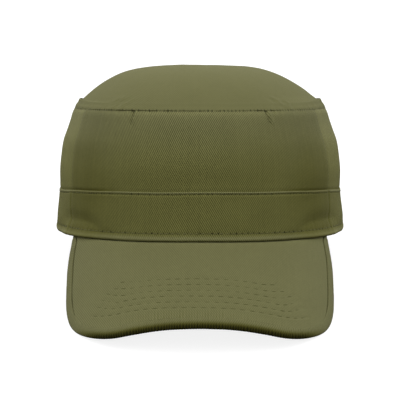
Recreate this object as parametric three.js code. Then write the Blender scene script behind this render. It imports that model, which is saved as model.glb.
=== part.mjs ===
// A soft cloth patrol cap: an oval crown with a domed top, a band round the head opening
// and a curved peak with a bound edge. It rests by itself on its back and the peak's corners.
// Lengths are in millimetres and angles in degrees unless a name says otherwise.
// +Z is up, the peak points along -Y, and left and right are as seen from the front.
import * as THREE from "three";

// Head opening, measured on the outside of the band's lower edge
const headHalfWidth = 88.5;
const headFrontReach = 104;
const headBackReach = 104;

// Crown, with heights above the band's lower edge at the sides
const rimHeight = 74;
const rimTilt = 7.7; // how far the rim rises at the front and falls at the back
const domeRise = 26.3;
const domeFullness = 3.4; // power of the dome's section, 2 for a plain bowl
const rimStripWidth = 5.5; // the seam's turned cloth, which lifts the top panel's border
const rimStripRise = 1.1;
const rimStripStep = 1.3;
const crownCloth = 1.5;
const sideSeamTurn = 63.5; // angle from the front to the side seams, round the head

// Band
const bandBackHeight = 23;
const bandFrontRise = 12.4; // how much higher its upper edge is at the front
const bandBlend = 0.25; // how softly that rise ends towards the sides, as a cosine
const bandCloth = 1.4;
const crownLap = 2.6; // how far the crown panels end above the band's lower edge
const bandStep = 0.4; // how far the band stands proud of the crown just above it
const bandStepFade = 15; // height over which the crown fills out again

// Folds at the band's lower front corners, above the ends of the peak
const foldInnerTurn = 37;
const foldOuterTurn = 62;
const foldEndTurn = 74;
const foldHeight = 12.5; // of the fold's line above the band's lower edge, at its outer end
const foldLinePower = 4; // how soon that line rises from its inner end
const flareReach = 1.8;
const dentDepth = 0.9;
const dentHalfHeight = 6;

// Peak
const peakSlope = 37.8;
const seamRise = 6.6; // how far the band's lower edge arches up over the peak
const seamArchTurn = 80; // angle from the front to each end of that arch
const seamArchPower = 1.5;
const peakReach = 64.8;
const peakHalfWidth = 79.8;
const peakSideFlare = 3.16; // how far the peak stands out past each end of its seam
const peakCornerStart = -10; // where the straight sides end, along the slope from the seam
const peakCornerPower = 3.6;
const peakThickness = 3;
const seamMargin = 2.6;
const peakEndInset = 4.5; // angle by which the stiff peak stops short of its seam's end

// Binding round the peak's edge
const bindingWidth = 4.6;
const bindingEndWidth = 2.6;
const bindingTaper = 12; // length over which the strip widens from its end
const bindingCloth = 1;
const bindingProud = 0.4;
const bindingSlack = 1; // between the stiff peak's rim and the fold of the binding
const bindingEndGap = 5.6; // along the peak's side, from its seam to the binding's end

// Fit and rest
const gap = 0.3;
const rimGap = 0.4; // upward, between the crown panels and the top panel's slanting edge
const pressDepth = 0.8; // how far the cloth is flattened where it rests
const steepestPitch = 40;

// How finely each piece is divided
const columns = { crownTop: 56, front: 32, side: 26, peak: 44 };
const bandRows = 4;
const peakRows = 7;

const olive = { cloth: 0x76754f, band: 0x706f47, peak: 0x7b7a52 };

const radians = THREE.MathUtils.degToRad;
const degrees = THREE.MathUtils.radToDeg;
const { clamp, lerp, smoothstep } = THREE.MathUtils;

// Angle from the front to each end of the peak's seam
const peakHalfTurn = degrees(Math.asin((peakHalfWidth - peakSideFlare) / headHalfWidth));

// The wall's section from the band's lower edge, height 0, to the rim, height 1.
// side, front and back are shares of headHalfWidth, headFrontReach and headBackReach.
const wallSections = [
  { height: 0.0, side: 1.0, front: 1.0, back: 1.0 },
  { height: 0.13, side: 0.993, front: 0.994, back: 0.995 },
  { height: 0.3, side: 0.98, front: 0.984, back: 0.987 },
  { height: 0.47, side: 0.978, front: 0.973, back: 0.978 },
  { height: 0.64, side: 0.963, front: 0.959, back: 0.964 },
  { height: 0.74, side: 0.948, front: 0.949, back: 0.951 },
  { height: 0.82, side: 0.924, front: 0.94, back: 0.934 },
  { height: 0.9, side: 0.901, front: 0.927, back: 0.913 },
  { height: 0.96, side: 0.886, front: 0.911, back: 0.896 },
  { height: 1.0, side: 0.872, front: 0.89, back: 0.88 },
];

// Heights of the crown panels' rows above the band, as shares of the way up to the rim
const crownRowShares = [0.24, 0.46, 0.66, 0.82, 0.93, 1];
const creaseHeight = 2.5;

// The dome's inner rings, as shares of the way out from its middle
const domeRingShares = [0.24, 0.46, 0.64, 0.79];

// The binding's section, from the top strip's inner end round the edge to the lower one's.
// inset is a share of the cloth left beside the edge, depth runs from 0, top, to 1, bottom.
const bindingSections = [
  { inset: 1, depth: 0 },
  { inset: 0.3, depth: 0 },
  { inset: 0.12, depth: 0.14 },
  { inset: 0, depth: 0.5 },
  { inset: 0.12, depth: 0.86 },
  { inset: 0.3, depth: 1 },
  { inset: 1, depth: 1 },
];

// A smooth curve through one column of the wall's sections
function sectionShare(column, height) {
  const last = wallSections.length - 2;
  const found = wallSections.findIndex((row, i) => i > last || height < wallSections[i + 1].height);
  const i = Math.min(found, last);
  const slopeAt = (k) => {
    const low = wallSections[Math.max(k - 1, 0)];
    const high = wallSections[Math.min(k + 1, last + 1)];
    return (high[column] - low[column]) / (high.height - low.height);
  };
  const a = wallSections[i];
  const b = wallSections[i + 1];
  const step = b.height - a.height;
  const s = clamp((height - a.height) / step, 0, 1);
  const rise = 3 * s * s - 2 * s * s * s;
  const bend = s * (1 - s);
  const curve = (1 - s) * slopeAt(i) - s * slopeAt(i + 1);
  return lerp(a[column], b[column], rise) + step * bend * curve;
}

// Height of the band's lower edge at an angle round the head, arched over the peak
function lowerEdge(turn) {
  const share = Math.min(Math.abs(turn) / seamArchTurn, 1);
  return seamRise * (1 - share ** seamArchPower);
}

function bandTop(turn) {
  const forward = Math.cos(radians(turn));
  return bandBackHeight + (bandFrontRise * (forward + Math.hypot(forward, bandBlend))) / 2;
}

function rimTop(turn) {
  return rimHeight + rimTilt * Math.cos(radians(turn));
}

function plainWall(turn, z) {
  const bottom = lowerEdge(turn);
  const height = (z - bottom) / (rimTop(turn) - bottom);
  const angle = radians(turn);
  const forward = Math.cos(angle);
  const reach =
    forward > 0
      ? headFrontReach * sectionShare("front", height)
      : headBackReach * sectionShare("back", height);
  const halfWidth = headHalfWidth * sectionShare("side", height);
  return new THREE.Vector3(halfWidth * Math.sin(angle), -reach * forward, z);
}

function wallNormal(turn, z) {
  const turnStep = 0.2;
  const heightStep = 0.5;
  const right = plainWall(turn + turnStep, z).sub(plainWall(turn - turnStep, z));
  const up = plainWall(turn, z + heightStep).sub(plainWall(turn, z - heightStep));
  return right.cross(up).normalize();
}

// The band's lower corner flares out below a curved line and is dented along it
function cornerFold(turn, z) {
  const side = Math.abs(turn);
  const share = clamp((side - foldInnerTurn) / (foldOuterTurn - foldInnerTurn), 0, 1);
  const amount = smoothstep(share, 0, 0.6) * (1 - smoothstep(side, foldOuterTurn, foldEndTurn));
  const line = foldHeight * (1 - (1 - share) ** foldLinePower);
  const above = z - lowerEdge(turn) - line;
  const dent = dentDepth * Math.exp(-((Math.max(above, 0) / dentHalfHeight) ** 2));
  const flare = (flareReach + dentDepth) * clamp(-above / foldHeight, 0, 1);
  return amount * (flare - dent);
}

// A point in the wall, depth being how far it lies inside the band's outer face
function wallPoint(turn, z, depth) {
  const out = cornerFold(turn, z) - depth;
  return plainWall(turn, z).addScaledVector(wallNormal(turn, z), out);
}

// The crown lies inside the band, and fills out above it
function crownDepth(turn, z) {
  const above = z - bandTop(turn);
  const inBand = bandCloth + gap;
  const crease = lerp(inBand, bandStep, smoothstep(above, 0, creaseHeight));
  return crease * (1 - smoothstep(above, creaseHeight, bandStepFade));
}

// The peak's surface bends about one straight direction, down its middle
const down = new THREE.Vector3(0, -Math.cos(radians(peakSlope)), -Math.sin(radians(peakSlope)));
const upright = new THREE.Vector3(0, -Math.sin(radians(peakSlope)), Math.cos(radians(peakSlope)));
const seamMiddle = new THREE.Vector3(0, -headFrontReach, seamRise - gap);

// How far the arched peak falls away from its middle, which follows the seam on the band
function peakDrop(across) {
  const turn = Math.asin(clamp(across / headHalfWidth, -1, 1));
  const back = headFrontReach * (1 - Math.cos(turn));
  const low = seamRise - lowerEdge(degrees(turn));
  return back * Math.sin(radians(peakSlope)) + low * Math.cos(radians(peakSlope));
}

function peakNormal(across) {
  const step = 0.2;
  const fall = (peakDrop(across + step) - peakDrop(across - step)) / (2 * step);
  return new THREE.Vector3(fall, 0, 0).add(upright).normalize();
}

// A point of the peak, from its place on the cloth and its depth below the top
function peakPoint(across, along, depth) {
  const point = seamMiddle.clone().addScaledVector(down, along);
  point.addScaledVector(upright, -peakDrop(across));
  point.x += across;
  return point.addScaledVector(peakNormal(across), -depth);
}

// Where the band's lower edge lies on the peak's cloth
function seamPlace(turn) {
  const angle = radians(turn);
  const back = headFrontReach * (1 - Math.cos(angle));
  const low = seamRise - lowerEdge(turn);
  const along = low * Math.sin(radians(peakSlope)) - back * Math.cos(radians(peakSlope));
  return new THREE.Vector2(headHalfWidth * Math.sin(angle), along);
}

// The peak's outline: straight sides, then one rounded curve round both corners
function peakOutline() {
  const end = seamPlace(peakHalfTurn);
  end.y += bindingEndGap;
  const side = new THREE.Vector2(lerp(end.x, peakHalfWidth, 0.7), lerp(end.y, peakCornerStart, 0.5));
  const half = [end, side];
  const steps = 24;
  for (let i = 0; i < steps; i++) {
    const angle = ((1 - i / steps) * Math.PI) / 2;
    const x = peakHalfWidth * Math.sin(angle) ** (2 / peakCornerPower);
    const front = (peakReach - peakCornerStart) * Math.cos(angle) ** (2 / peakCornerPower);
    half.push(new THREE.Vector2(x, peakCornerStart + front));
  }
  const middle = new THREE.Vector2(0, peakReach);
  const mirrored = half.map((point) => new THREE.Vector2(-point.x, point.y));
  const curve = new THREE.SplineCurve([...mirrored, middle, ...half.reverse()]);
  curve.arcLengthDivisions = 800;
  return curve;
}

const outline = peakOutline();
const outlineLength = outline.getLength();

function bindingWidthAt(share) {
  const fromEnd = Math.min(share, 1 - share) * outlineLength;
  return lerp(bindingEndWidth, bindingWidth, smoothstep(fromEnd, 0, bindingTaper));
}

// A place on the peak's cloth, measured in from its edge
function edgePlace(share, inset) {
  const place = outline.getPointAt(share);
  const along = outline.getTangentAt(share);
  return place.add(new THREE.Vector2(along.y, -along.x).multiplyScalar(inset));
}

// A closed wall from a grid of points on each of its two faces, outer face first.
// wrapped joins the last column to the first, and a pole is a single point before row 0.
function wallGeometry(outer, inner, wrapped = false, poles = null) {
  const rows = outer.length;
  const width = outer[0].length;
  const points = [...outer.flat(), ...inner.flat(), ...(poles ?? [])];
  const at = (face, row, column) => (face * rows + row) * width + (column % width);
  const index = [];
  const quad = (a, b, c, d) => index.push(a, b, c, a, c, d);
  const spans = wrapped ? width : width - 1;
  for (let c = 0; c < spans; c++) {
    for (let r = 0; r < rows - 1; r++) {
      quad(at(0, r, c), at(0, r, c + 1), at(0, r + 1, c + 1), at(0, r + 1, c));
      quad(at(1, r, c), at(1, r + 1, c), at(1, r + 1, c + 1), at(1, r, c + 1));
    }
    quad(at(0, rows - 1, c), at(0, rows - 1, c + 1), at(1, rows - 1, c + 1), at(1, rows - 1, c));
    if (poles) {
      index.push(2 * rows * width, at(0, 0, c + 1), at(0, 0, c));
      index.push(2 * rows * width + 1, at(1, 0, c), at(1, 0, c + 1));
    } else {
      quad(at(1, 0, c), at(1, 0, c + 1), at(0, 0, c + 1), at(0, 0, c));
    }
  }
  for (let r = 0; r < rows - 1 && !wrapped; r++) {
    quad(at(0, r, 0), at(0, r + 1, 0), at(1, r + 1, 0), at(1, r, 0));
    quad(at(1, r, spans), at(1, r + 1, spans), at(0, r + 1, spans), at(0, r, spans));
  }
  return { points, index };
}

// Angles of a panel's columns between two seams, kept clear of both by half a gap
function panelTurns(from, to, count) {
  const halfGap = degrees(gap / 2 / headHalfWidth);
  return Array.from({ length: count + 1 }, (_, i) => lerp(from + halfGap, to - halfGap, i / count));
}

// Heights of the rows that the band and the crown inside it share
function lapRowHeights(turn) {
  const row = (_, i) => lerp(lowerEdge(turn) + crownLap, bandTop(turn), i / bandRows);
  return Array.from({ length: bandRows + 1 }, row);
}

function bandRowHeights(turn) {
  return [lowerEdge(turn), ...lapRowHeights(turn)];
}

function crownRowHeights(turn) {
  const crease = bandTop(turn) + creaseHeight;
  const upward = crownRowShares.map((share) => lerp(crease, rimTop(turn), share));
  return [...lapRowHeights(turn), crease, ...upward];
}

function crownPanel(from, to, count) {
  const turns = panelTurns(from, to, count);
  const face = (cloth) =>
    crownRowHeights(0).map((_, row) =>
      turns.map((turn) => {
        const z = crownRowHeights(turn)[row];
        return wallPoint(turn, z, crownDepth(turn, z) + cloth);
      }),
    );
  return wallGeometry(face(0), face(crownCloth));
}

function bandPanel(from, to, count) {
  const turns = panelTurns(from, to, count);
  const face = (cloth) =>
    bandRowHeights(0).map((_, row) =>
      turns.map((turn) => wallPoint(turn, bandRowHeights(turn)[row], cloth)),
    );
  return wallGeometry(face(0), face(bandCloth));
}

// The top panel meets the side panels' upper edge and domes up from there
function domePoint(turn, share) {
  const edge = wallPoint(turn, rimTop(turn), 0);
  edge.z += rimGap;
  const middle = (rimTop(0) + rimTop(180)) / 2 + rimGap;
  const fromSeam = (1 - share) * headHalfWidth;
  const onStrip = fromSeam / rimStripStep;
  const pastStrip = (fromSeam - rimStripWidth) / rimStripStep;
  const strip = smoothstep(onStrip, 0, 1) - smoothstep(pastStrip, 0, 1);
  const rise = domeRise * (1 - share ** domeFullness) + rimStripRise * strip;
  return new THREE.Vector3(edge.x * share, edge.y * share, lerp(middle, edge.z, share) + rise);
}

function domeNormal(turn, share) {
  if (share === 1) {
    return wallNormal(turn, rimTop(turn));
  }
  const turnStep = 0.5;
  const shareStep = 0.01;
  const right = domePoint(turn + turnStep, share).sub(domePoint(turn - turnStep, share));
  const out = domePoint(turn, share + shareStep).sub(domePoint(turn, share - shareStep));
  return out.cross(right).normalize();
}

function crownTop() {
  const count = columns.crownTop;
  const turns = Array.from({ length: count }, (_, i) => (360 * i) / count);
  const stripEdges = [rimStripWidth + rimStripStep, rimStripWidth, rimStripStep, 0];
  const stripShares = stripEdges.map((fromSeam) => 1 - fromSeam / headHalfWidth);
  const face = (cloth) =>
    [...domeRingShares, ...stripShares].map((share) =>
      turns.map((turn) =>
        domePoint(turn, share).addScaledVector(domeNormal(turn, share), -cloth),
      ),
    );
  const middle = domePoint(0, 0);
  const below = middle.clone();
  below.z -= crownCloth;
  const turned = (rings) => rings.map((ring) => ring.reverse());
  return wallGeometry(turned(face(0)), turned(face(crownCloth)), true, [middle, below]);
}

// The stiff peak, with a flat margin under the band and a thinner rim inside the binding
function peak() {
  const shares = Array.from({ length: columns.peak + 1 }, (_, i) => i / columns.peak);
  const turnAt = (share) => (2 * share - 1) * (peakHalfTurn - peakEndInset);
  const rimDip = bindingCloth + gap - bindingProud;
  const marginRow = (depth) =>
    shares.map((share) => {
      const turn = turnAt(share);
      const point = wallPoint(turn, lowerEdge(turn), seamMargin);
      point.z -= gap;
      return point.addScaledVector(peakNormal(seamPlace(turn).x), -depth);
    });
  const clothRow = (part, depth) =>
    shares.map((share) => {
      const seam = seamPlace(turnAt(share));
      const place = seam.lerp(edgePlace(share, bindingWidthAt(share) + 3 * gap), part);
      return peakPoint(place.x, place.y, depth);
    });
  const rimRow = (inset, depth) =>
    shares.map((share) => {
      const place = edgePlace(share, inset(share));
      return peakPoint(place.x, place.y, depth);
    });
  const face = (depth, rimDepth) => [
    marginRow(depth),
    ...Array.from({ length: peakRows + 1 }, (_, row) => clothRow(row / peakRows, depth)),
    rimRow((share) => bindingWidthAt(share) + gap, rimDepth),
    rimRow(() => bindingCloth + bindingSlack, rimDepth),
  ];
  const top = face(0, rimDip);
  const bottom = face(peakThickness, peakThickness - rimDip);
  return wallGeometry(bottom, top);
}

// The binding's section follows the peak's edge, outside it and the gap round it
function peakBinding() {
  const count = columns.peak;
  const shares = Array.from({ length: count + 1 }, (_, i) => i / count);
  const face = (cloth) =>
    bindingSections.map((row) =>
      shares.map((share) => {
        const width = bindingWidthAt(share);
        const inset = lerp(cloth, width, row.inset);
        const place = edgePlace(share, inset);
        const top = cloth - bindingProud;
        const bottom = peakThickness + bindingProud - cloth;
        return peakPoint(place.x, place.y, lerp(top, bottom, row.depth));
      }),
    );
  return wallGeometry(face(bindingCloth), face(0));
}

const pieces = {
  crown_top: { colour: olive.peak, ...crownTop() },
  crown_front: { colour: olive.cloth, ...crownPanel(-sideSeamTurn, sideSeamTurn, columns.front) },
  crown_left: { colour: olive.cloth, ...crownPanel(-180, -sideSeamTurn, columns.side) },
  crown_right: { colour: olive.cloth, ...crownPanel(sideSeamTurn, 180, columns.side) },
  band_front: { colour: olive.band, ...bandPanel(-sideSeamTurn, sideSeamTurn, columns.front) },
  band_left: { colour: olive.band, ...bandPanel(-180, -sideSeamTurn, columns.side) },
  band_right: { colour: olive.band, ...bandPanel(sideSeamTurn, 180, columns.side) },
  peak: { colour: olive.peak, ...peak() },
  peak_binding: { colour: olive.peak, ...peakBinding() },
};

// The cap tips back until its back edge and the peak's corners are equally low
function lowest(names, pitch) {
  const heights = names.flatMap((name) =>
    pieces[name].points.map((point) => point.clone().applyAxisAngle(xAxis, -pitch).z),
  );
  return heights.reduce((least, z) => Math.min(least, z), Infinity);
}

const xAxis = new THREE.Vector3(1, 0, 0);
const bandPieces = ["band_left", "band_right"];

function restPitch() {
  let level = 0;
  let steep = radians(steepestPitch);
  const halvings = 40;
  for (let i = 0; i < halvings; i++) {
    const pitch = (level + steep) / 2;
    if (lowest(["peak_binding"], pitch) < lowest(bandPieces, pitch)) {
      level = pitch;
    } else {
      steep = pitch;
    }
  }
  return (level + steep) / 2;
}

const pitch = restPitch();
const floor = lowest(bandPieces, pitch) + pressDepth;

// Turned to rest, with the cloth flattened where it meets the surface
function settled(point) {
  const rested = point.clone().applyAxisAngle(xAxis, -pitch);
  rested.z = Math.max(rested.z - floor, 0);
  return rested;
}

function clothMesh(name) {
  const { points, index, colour } = pieces[name];
  const geometry = new THREE.BufferGeometry().setFromPoints(points.map(settled));
  geometry.setIndex(index);
  geometry.computeVertexNormals();
  const cloth = new THREE.MeshStandardMaterial({ color: colour, roughness: 0.9, metalness: 0 });
  const mesh = new THREE.Mesh(geometry, cloth);
  mesh.name = name;
  return mesh;
}

const cap = new THREE.Group();
for (const name of Object.keys(pieces)) {
  cap.add(clothMesh(name));
}

// The origin is on the surface, under the middle of the cap
const span = new THREE.Box3().setFromObject(cap);
cap.position.y = -(span.min.y + span.max.y) / 2;
cap.updateMatrixWorld(true);

export default cap;
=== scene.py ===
# A soft cloth patrol cap in olive cotton twill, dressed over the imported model.
# Shapes are worked out in millimetres, in the cap's worn frame: +Z up, the peak towards -Y,
# height 0 at the band's lower edge at the sides. Angles go round the head from the front,
# in degrees. at_rest() then turns them to the way that the cap rests, in metres.
import math
import random

import bpy
import numpy as np
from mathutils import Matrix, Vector


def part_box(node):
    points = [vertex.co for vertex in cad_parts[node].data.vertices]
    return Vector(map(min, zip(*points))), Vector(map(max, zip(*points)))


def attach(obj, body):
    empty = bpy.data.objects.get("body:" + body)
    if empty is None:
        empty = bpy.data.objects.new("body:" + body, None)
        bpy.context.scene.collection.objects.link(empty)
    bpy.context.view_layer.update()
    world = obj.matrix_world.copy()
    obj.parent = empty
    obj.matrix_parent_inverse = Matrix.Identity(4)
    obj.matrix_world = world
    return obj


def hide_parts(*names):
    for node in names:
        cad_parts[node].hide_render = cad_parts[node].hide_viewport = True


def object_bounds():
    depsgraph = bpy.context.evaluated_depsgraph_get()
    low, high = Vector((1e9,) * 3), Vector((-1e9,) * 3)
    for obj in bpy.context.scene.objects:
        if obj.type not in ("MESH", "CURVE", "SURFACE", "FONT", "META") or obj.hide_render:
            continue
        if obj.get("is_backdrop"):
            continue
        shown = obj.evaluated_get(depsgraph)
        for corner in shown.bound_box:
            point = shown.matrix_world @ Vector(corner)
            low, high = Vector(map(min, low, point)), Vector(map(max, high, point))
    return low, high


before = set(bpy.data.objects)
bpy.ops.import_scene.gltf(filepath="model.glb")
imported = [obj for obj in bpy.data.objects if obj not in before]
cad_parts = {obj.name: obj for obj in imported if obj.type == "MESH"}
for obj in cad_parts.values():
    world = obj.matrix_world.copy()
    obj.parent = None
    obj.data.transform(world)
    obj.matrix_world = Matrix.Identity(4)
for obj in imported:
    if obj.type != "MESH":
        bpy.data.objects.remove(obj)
cad_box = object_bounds()

MM = 0.001
REST_PITCH = 11.443

# Head opening, crown, band and peak. They follow the model that they dress, except that the strip
# round the top, the folds of the band's corners and the peak's reach come closer to the photograph.
HEAD_HALF_WIDTH = 88.5
HEAD_FRONT_REACH = 104
HEAD_BACK_REACH = 104
RIM_HEIGHT = 74
RIM_TILT = 7.7
DOME_RISE = 26.3
DOME_FULLNESS = 3.4
RIM_STRIP_WIDTH = 4.2
RIM_STRIP_RISE = 1.1
RIM_STRIP_STEP = 1.3
RIM_STRIP_LIP = 1.1  # how much higher the strip's inner edge stands, as a share of its rise
RIM_STRIP_FRONT_SHARE = 0.06  # of its rise at the sides, left in front and behind
RIM_STRIP_SIDE_POWER = 10
CROWN_CLOTH = 1.5
SIDE_SEAM_TURN = 63.5
PANELS = {
    # where the crown's and the band's panels start and end, and the columns of points on each
    "front": (-SIDE_SEAM_TURN, SIDE_SEAM_TURN, 330),
    "left": (-180, -SIDE_SEAM_TURN, 190),
    "right": (SIDE_SEAM_TURN, 180, 190),
}
BAND_BACK_HEIGHT = 23
BAND_FRONT_RISE = 12.4
BAND_BLEND = 0.25
BAND_CLOTH = 1.4
CROWN_LAP = 2.6
BAND_STEP = 0.4
BAND_STEP_FADE = 15
CREASE_HEIGHT = 2.5
FOLD_INNER_TURN = 37
FOLD_OUTER_TURN = 62
FOLD_END_TURN = 74
FOLD_HEIGHT = 9.8
FOLD_LINE_POWER = 4
FOLD_FULL_SHARE = 0.6  # of the way from its inner to its outer end
FLARE_REACH = 1.8
DENT_DEPTH = 1.5
DENT_HALF_HEIGHT = 5
PEAK_SLOPE = math.radians(37.8)
PEAK_REACH = 63.0
PEAK_HALF_WIDTH = 79.8
PEAK_HALF_TURN = 60
PEAK_SEAM_INSET = 2.3  # angle left to the binding at each end of the peak's seam
PEAK_CORNER_START = -10
PEAK_CORNER_POWER = 3.6
PEAK_THICKNESS = 3
SEAM_RISE = 6.6
SEAM_ARCH_TURN = 80
SEAM_ARCH_POWER = 1.5
SEAM_MARGIN = 2.6
BINDING_CLOTH = 1
BINDING_PROUD = 0.4
BINDING_SIDE_STEP = 0.5  # from the binding's inner edge to where the peak's cloth steps down
BINDING_FRONT_STEP = -0.08
GAP = 0.3

# Fine forms of the cloth
SEAM_GAP = 0.12
JOIN_GAP = 0.02  # between two panels sewn edge to edge
CROWN_SEAM_DIP = 0.14
BAND_SEAM_DIP = 0.5
SEAM_DIP_WIDTH = 1.3
RIM_DIP = 0.1
RIM_DIP_WIDTH = 1.2
RIM_THREAD_DEPTH = 0.45  # the thread lies sunk in the seam
EDGE_ROLL = 0.22
LIP_ROLL = 0.6
LIP_CLOTH = 0.45  # the band thins to this towards its folded upper edge
LIP_TAPER = 4
HEM_ROLL = 1.3
HEM_HEIGHT = 3.6
HEM_BULGE = 0.35
HEM_DEPTH = 3.1
TOP_GROOVE = 0.5
LOW_GROOVE = 0.15
PEAK_GROOVE = 0.3
PEAK_GROOVE_USUAL = 0.75
UNDER_RELIEF = 0.6  # the relief of the peak's lower face, as a share of its upper one's
GROOVE_WIDTH = 0.6
BAND_TOP_STITCH = 1.5  # below the band's upper edge
BAND_LOW_STITCH = 4.8  # above its lower edge
SEAM_SHADOW = 0.25  # how far the peak dips where it passes under the band
SEAM_SHADOW_WIDTH = 0.6
BINDING_SIDE_WIDTH = 4.4
BINDING_FRONT_WIDTH = 6.4
BINDING_FRONT_HANG = 1.5
FRONT_SHADE = 0.85  # painted shade under the gathers of the front edge
# painted shade between the binding's ribs, and painted light on their crests
RIB_SHADE = 0.3
BINDING_END_WIDTH = 1.4
BINDING_TAPER = 9
BINDING_END_GAP = -1.4  # its ends are tucked under the band
BINDING_TUCK = 5
BINDING_SINK = 0.2
BINDING_RIB = 0.42
BINDING_RIB_PITCH = 1.6
RIB_MIDDLE = 0.7  # share of a rib's height that lies below the cloth's own level
RIB_USUAL = 0.75
PEAK_RIB = 0.2  # where the gathers die out on the peak's cloth
PEAK_RIB_LENGTH = 10
BINDING_JOIN = 43  # from its right end to the join across it
JOIN_DIP = 0.25
JOIN_HALF_WIDTH = 0.5
FRONT_HALF_ARC = 58  # half the stretch of the peak's edge where the binding is gathered
FRONT_FADE = 26
FLUSH_HALF_ARC = 84
FLUSH_FADE = 22
FLUSH_SHARE = 0.1  # of how proud it stands elsewhere
PEAK_EDGE_WAVE = 1.2  # the front edge reaches out in the middle and back beside it
PEAK_EDGE_WAVE_HALF = 38
PEAK_EDGE_WAVE_END = 60
PEAK_EDGE_LEAN = 2.2  # how much further it reaches on its right
PEAK_LEAN_PLACE = 42
PEAK_LEAN_WIDTH = 22
PEAK_STITCH_INSET = 13.9
PEAK_STITCH_PITCH = 4.4
ROW_CURL_LENGTH = 14
ROW_CURL_POWER = 1.5
PEAK_ROWS = (
    # half-width, how far its ends curl back, outermost first
    (62, 0.5),
    (60, 3.0),
    (58, 4.0),
    (55, 4.0),
    (51, 2.5),
    (47, 2.0),
)

# The top's uneven fullness: swells, one hollow, a faint crease and crinkles by its front corners
TOP_SWELLS = (
    # place across, half-width, height
    (-14, 24, 0.35),
    (-44, 15, 0.5),
    (36, 12, 0.3),
)
HOLLOW_PLACE = 62
HOLLOW_WIDTH = 18
HOLLOW_DEPTH = 0.9
CREASE_PLACE = -4
CREASE_RISE = 0.4
CRINKLE_TURN = 40

# Small creases in the front panel under the rim
RIM_DARTS = (
    # arc, slant, depth, length
    (-47, -0.16, 1.2, 11.0),
    (47, 0.3, 1.3, 11.0),
    (-55, 0.5, 0.35, 6.0),
    (54, -0.4, 0.3, 6.0),
)

# Thread
THREAD_RADIUS = 0.22
THREAD_SIDES = 6
THREAD_RINGS = 7
STITCH_ARCH = 0.34  # how far a stitch rises between its ends
STITCH_SINK = 0.22  # how deep its ends lie
TOP_PITCH = 2.4
LOW_PITCH = 3.6
RIM_PITCH = 2.7
PEAK_PITCH = 5.6
STITCH_SHARE = 0.74  # how much of its pitch a stitch shows on the cloth
HOLE_SHARE = 0.17  # half-length of a needle hole, as a share of the pitch
HOLE_HALF_WIDTH = 0.7

NO_STITCH = 50  # stands for a place far from any stitch row
NEAR = 0.2  # half the distance between two points whose slope is taken
NEAR_UP = 0.5
EDGE_NEAR = 1.5

# Rows and columns of points
CROWN_ROWS = 74
LAP_ROWS = 5  # on the part of the crown that the band hides
BAND_ROWS = 52
TOP_ROWS = 84
TOP_COLUMNS = 420
PEAK_CLOTH_ROWS = 70
PEAK_COLUMNS = 420
BINDING_COLUMNS = 960
EDGE_CROWDING = 0.85
SEAM_CROWDING = 0.6

# The cloth's twill, a steep three-over-one weave
WARP_PITCH = 0.32
WEFT_PITCH = 0.54
TWILL_REPEAT = 4
WEFT_HEIGHT = 0.25  # of the height of the warp threads over it
WEAVE_DEPTH = 0.14
HOLE_DEPTH = 3.0  # times the depth of the weave

# The look of the cloth and the thread
TWILL_MEAN = 0.64  # mean height of the weave's relief
# How strongly the weave's relief is painted into the colour as shade on each piece, strongest on
# the walls, which light grazes
CROWN_CONTRAST = 1.6
BAND_CONTRAST = 1.55
TOP_CONTRAST = 0.16
PEAK_CONTRAST = 0.58
THREAD_TONE = 0.06  # how much one warp thread differs from the next
MOTTLE_TONE = 0.18
MOTTLE_SCALE = 0.35
PATCH_TONE = 0.14
PATCH_SCALE = 0.045
EVEN_SHARE = 0.4  # share of the mottling left on cloth whose weave doesn't show
# how much worn edges and painted highlight lighten the colour
WEAR_AND_HIGHLIGHT_TONE = 0.1
# Lighter edges, as painted highlight: the crown under its rim, and the band's lip and hem, which
# catch the light; the top is lighter along its edge at the rim seam
RIM_HIGHLIGHT = 0.6
TOP_EDGE_LIGHTENING = 0.5
LIP_HIGHLIGHT = 4.2
HEM_HIGHLIGHT = 5
LIP_LINE = 0.5  # where the painted highlight lies below the lip, and above the hem's edge
HEM_LINE = 1.8
TIGHT_ARC = 78  # where the cloth is drawn tight, from the middle of the front
TIGHT_WIDTH = 36
TIGHT_SMOOTHING = 0.65
ROUGHNESS = 0.92
RAISED_GLOSS = 0.1
SHEEN = 0.02
SHEEN_TINT = (0.8, 0.8, 0.6)
SPECULAR = 0.09
# Painted shade and painted light: shares of the colour taken away, or added where below 0
HOLE_SHADE = 0.75
CROWN_CORNER_SHADE = 0.21
BAND_CORNER_SHADE = 0.19
CORNER_START = 0.45  # shares of the way to the side seam
CORNER_FULL = 0.8
CORNER_FADE_START = 0.94
CORNER_FADE = 0.45
LIP_SHADE = 0.3  # painted shade: a dark line above the band's upper edge, at the sides
SIDE_LIGHT = 0.12  # painted light on the side panels, fading over an angle behind their front seams
SIDE_LIGHT_END = 45
RIM_LIGHT = 0.18  # painted light on the crown, from its lower half up to its rim
FLARE_SHADE = 0.08
JOIN_SHADE = 0.12
TOP_SHADE = 0.025
TOP_SIDE_SHADE = 0.05
PEAK_LIGHT = 0.03
PEAK_SEAM_LIGHT = 0.2
PEAK_RIB_LIGHT = 0.5
DARKEST = 0.93
DEEP_COLOUR = (0.139, 0.136, 0.04)
# a whiter copy of the colour, painted as sheen where light falls from above
PAINTED_SHEEN_COLOUR = (0.139, 0.137, 0.057)
# colour that painted shade tints the cloth towards, olive without blue
PAINTED_SHADE_COLOUR = (0.14, 0.13, 0.0)
# Painted shade: threads darker than the cloth, so that the stitch rows read as dark lines
SHADED_THREAD_COLOUR = (0.088, 0.086, 0.027)
SHADED_PALE_THREAD_COLOUR = (0.12, 0.117, 0.044)

# Light
TOP_POWER = 4
SIDE_POWER = 9
SKY_STRENGTH = 1.12
HORIZON_STRENGTH = 0.0
SKY_LOW = -0.05  # sines of the heights between which the sky brightens
SKY_HIGH = 0.22

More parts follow.
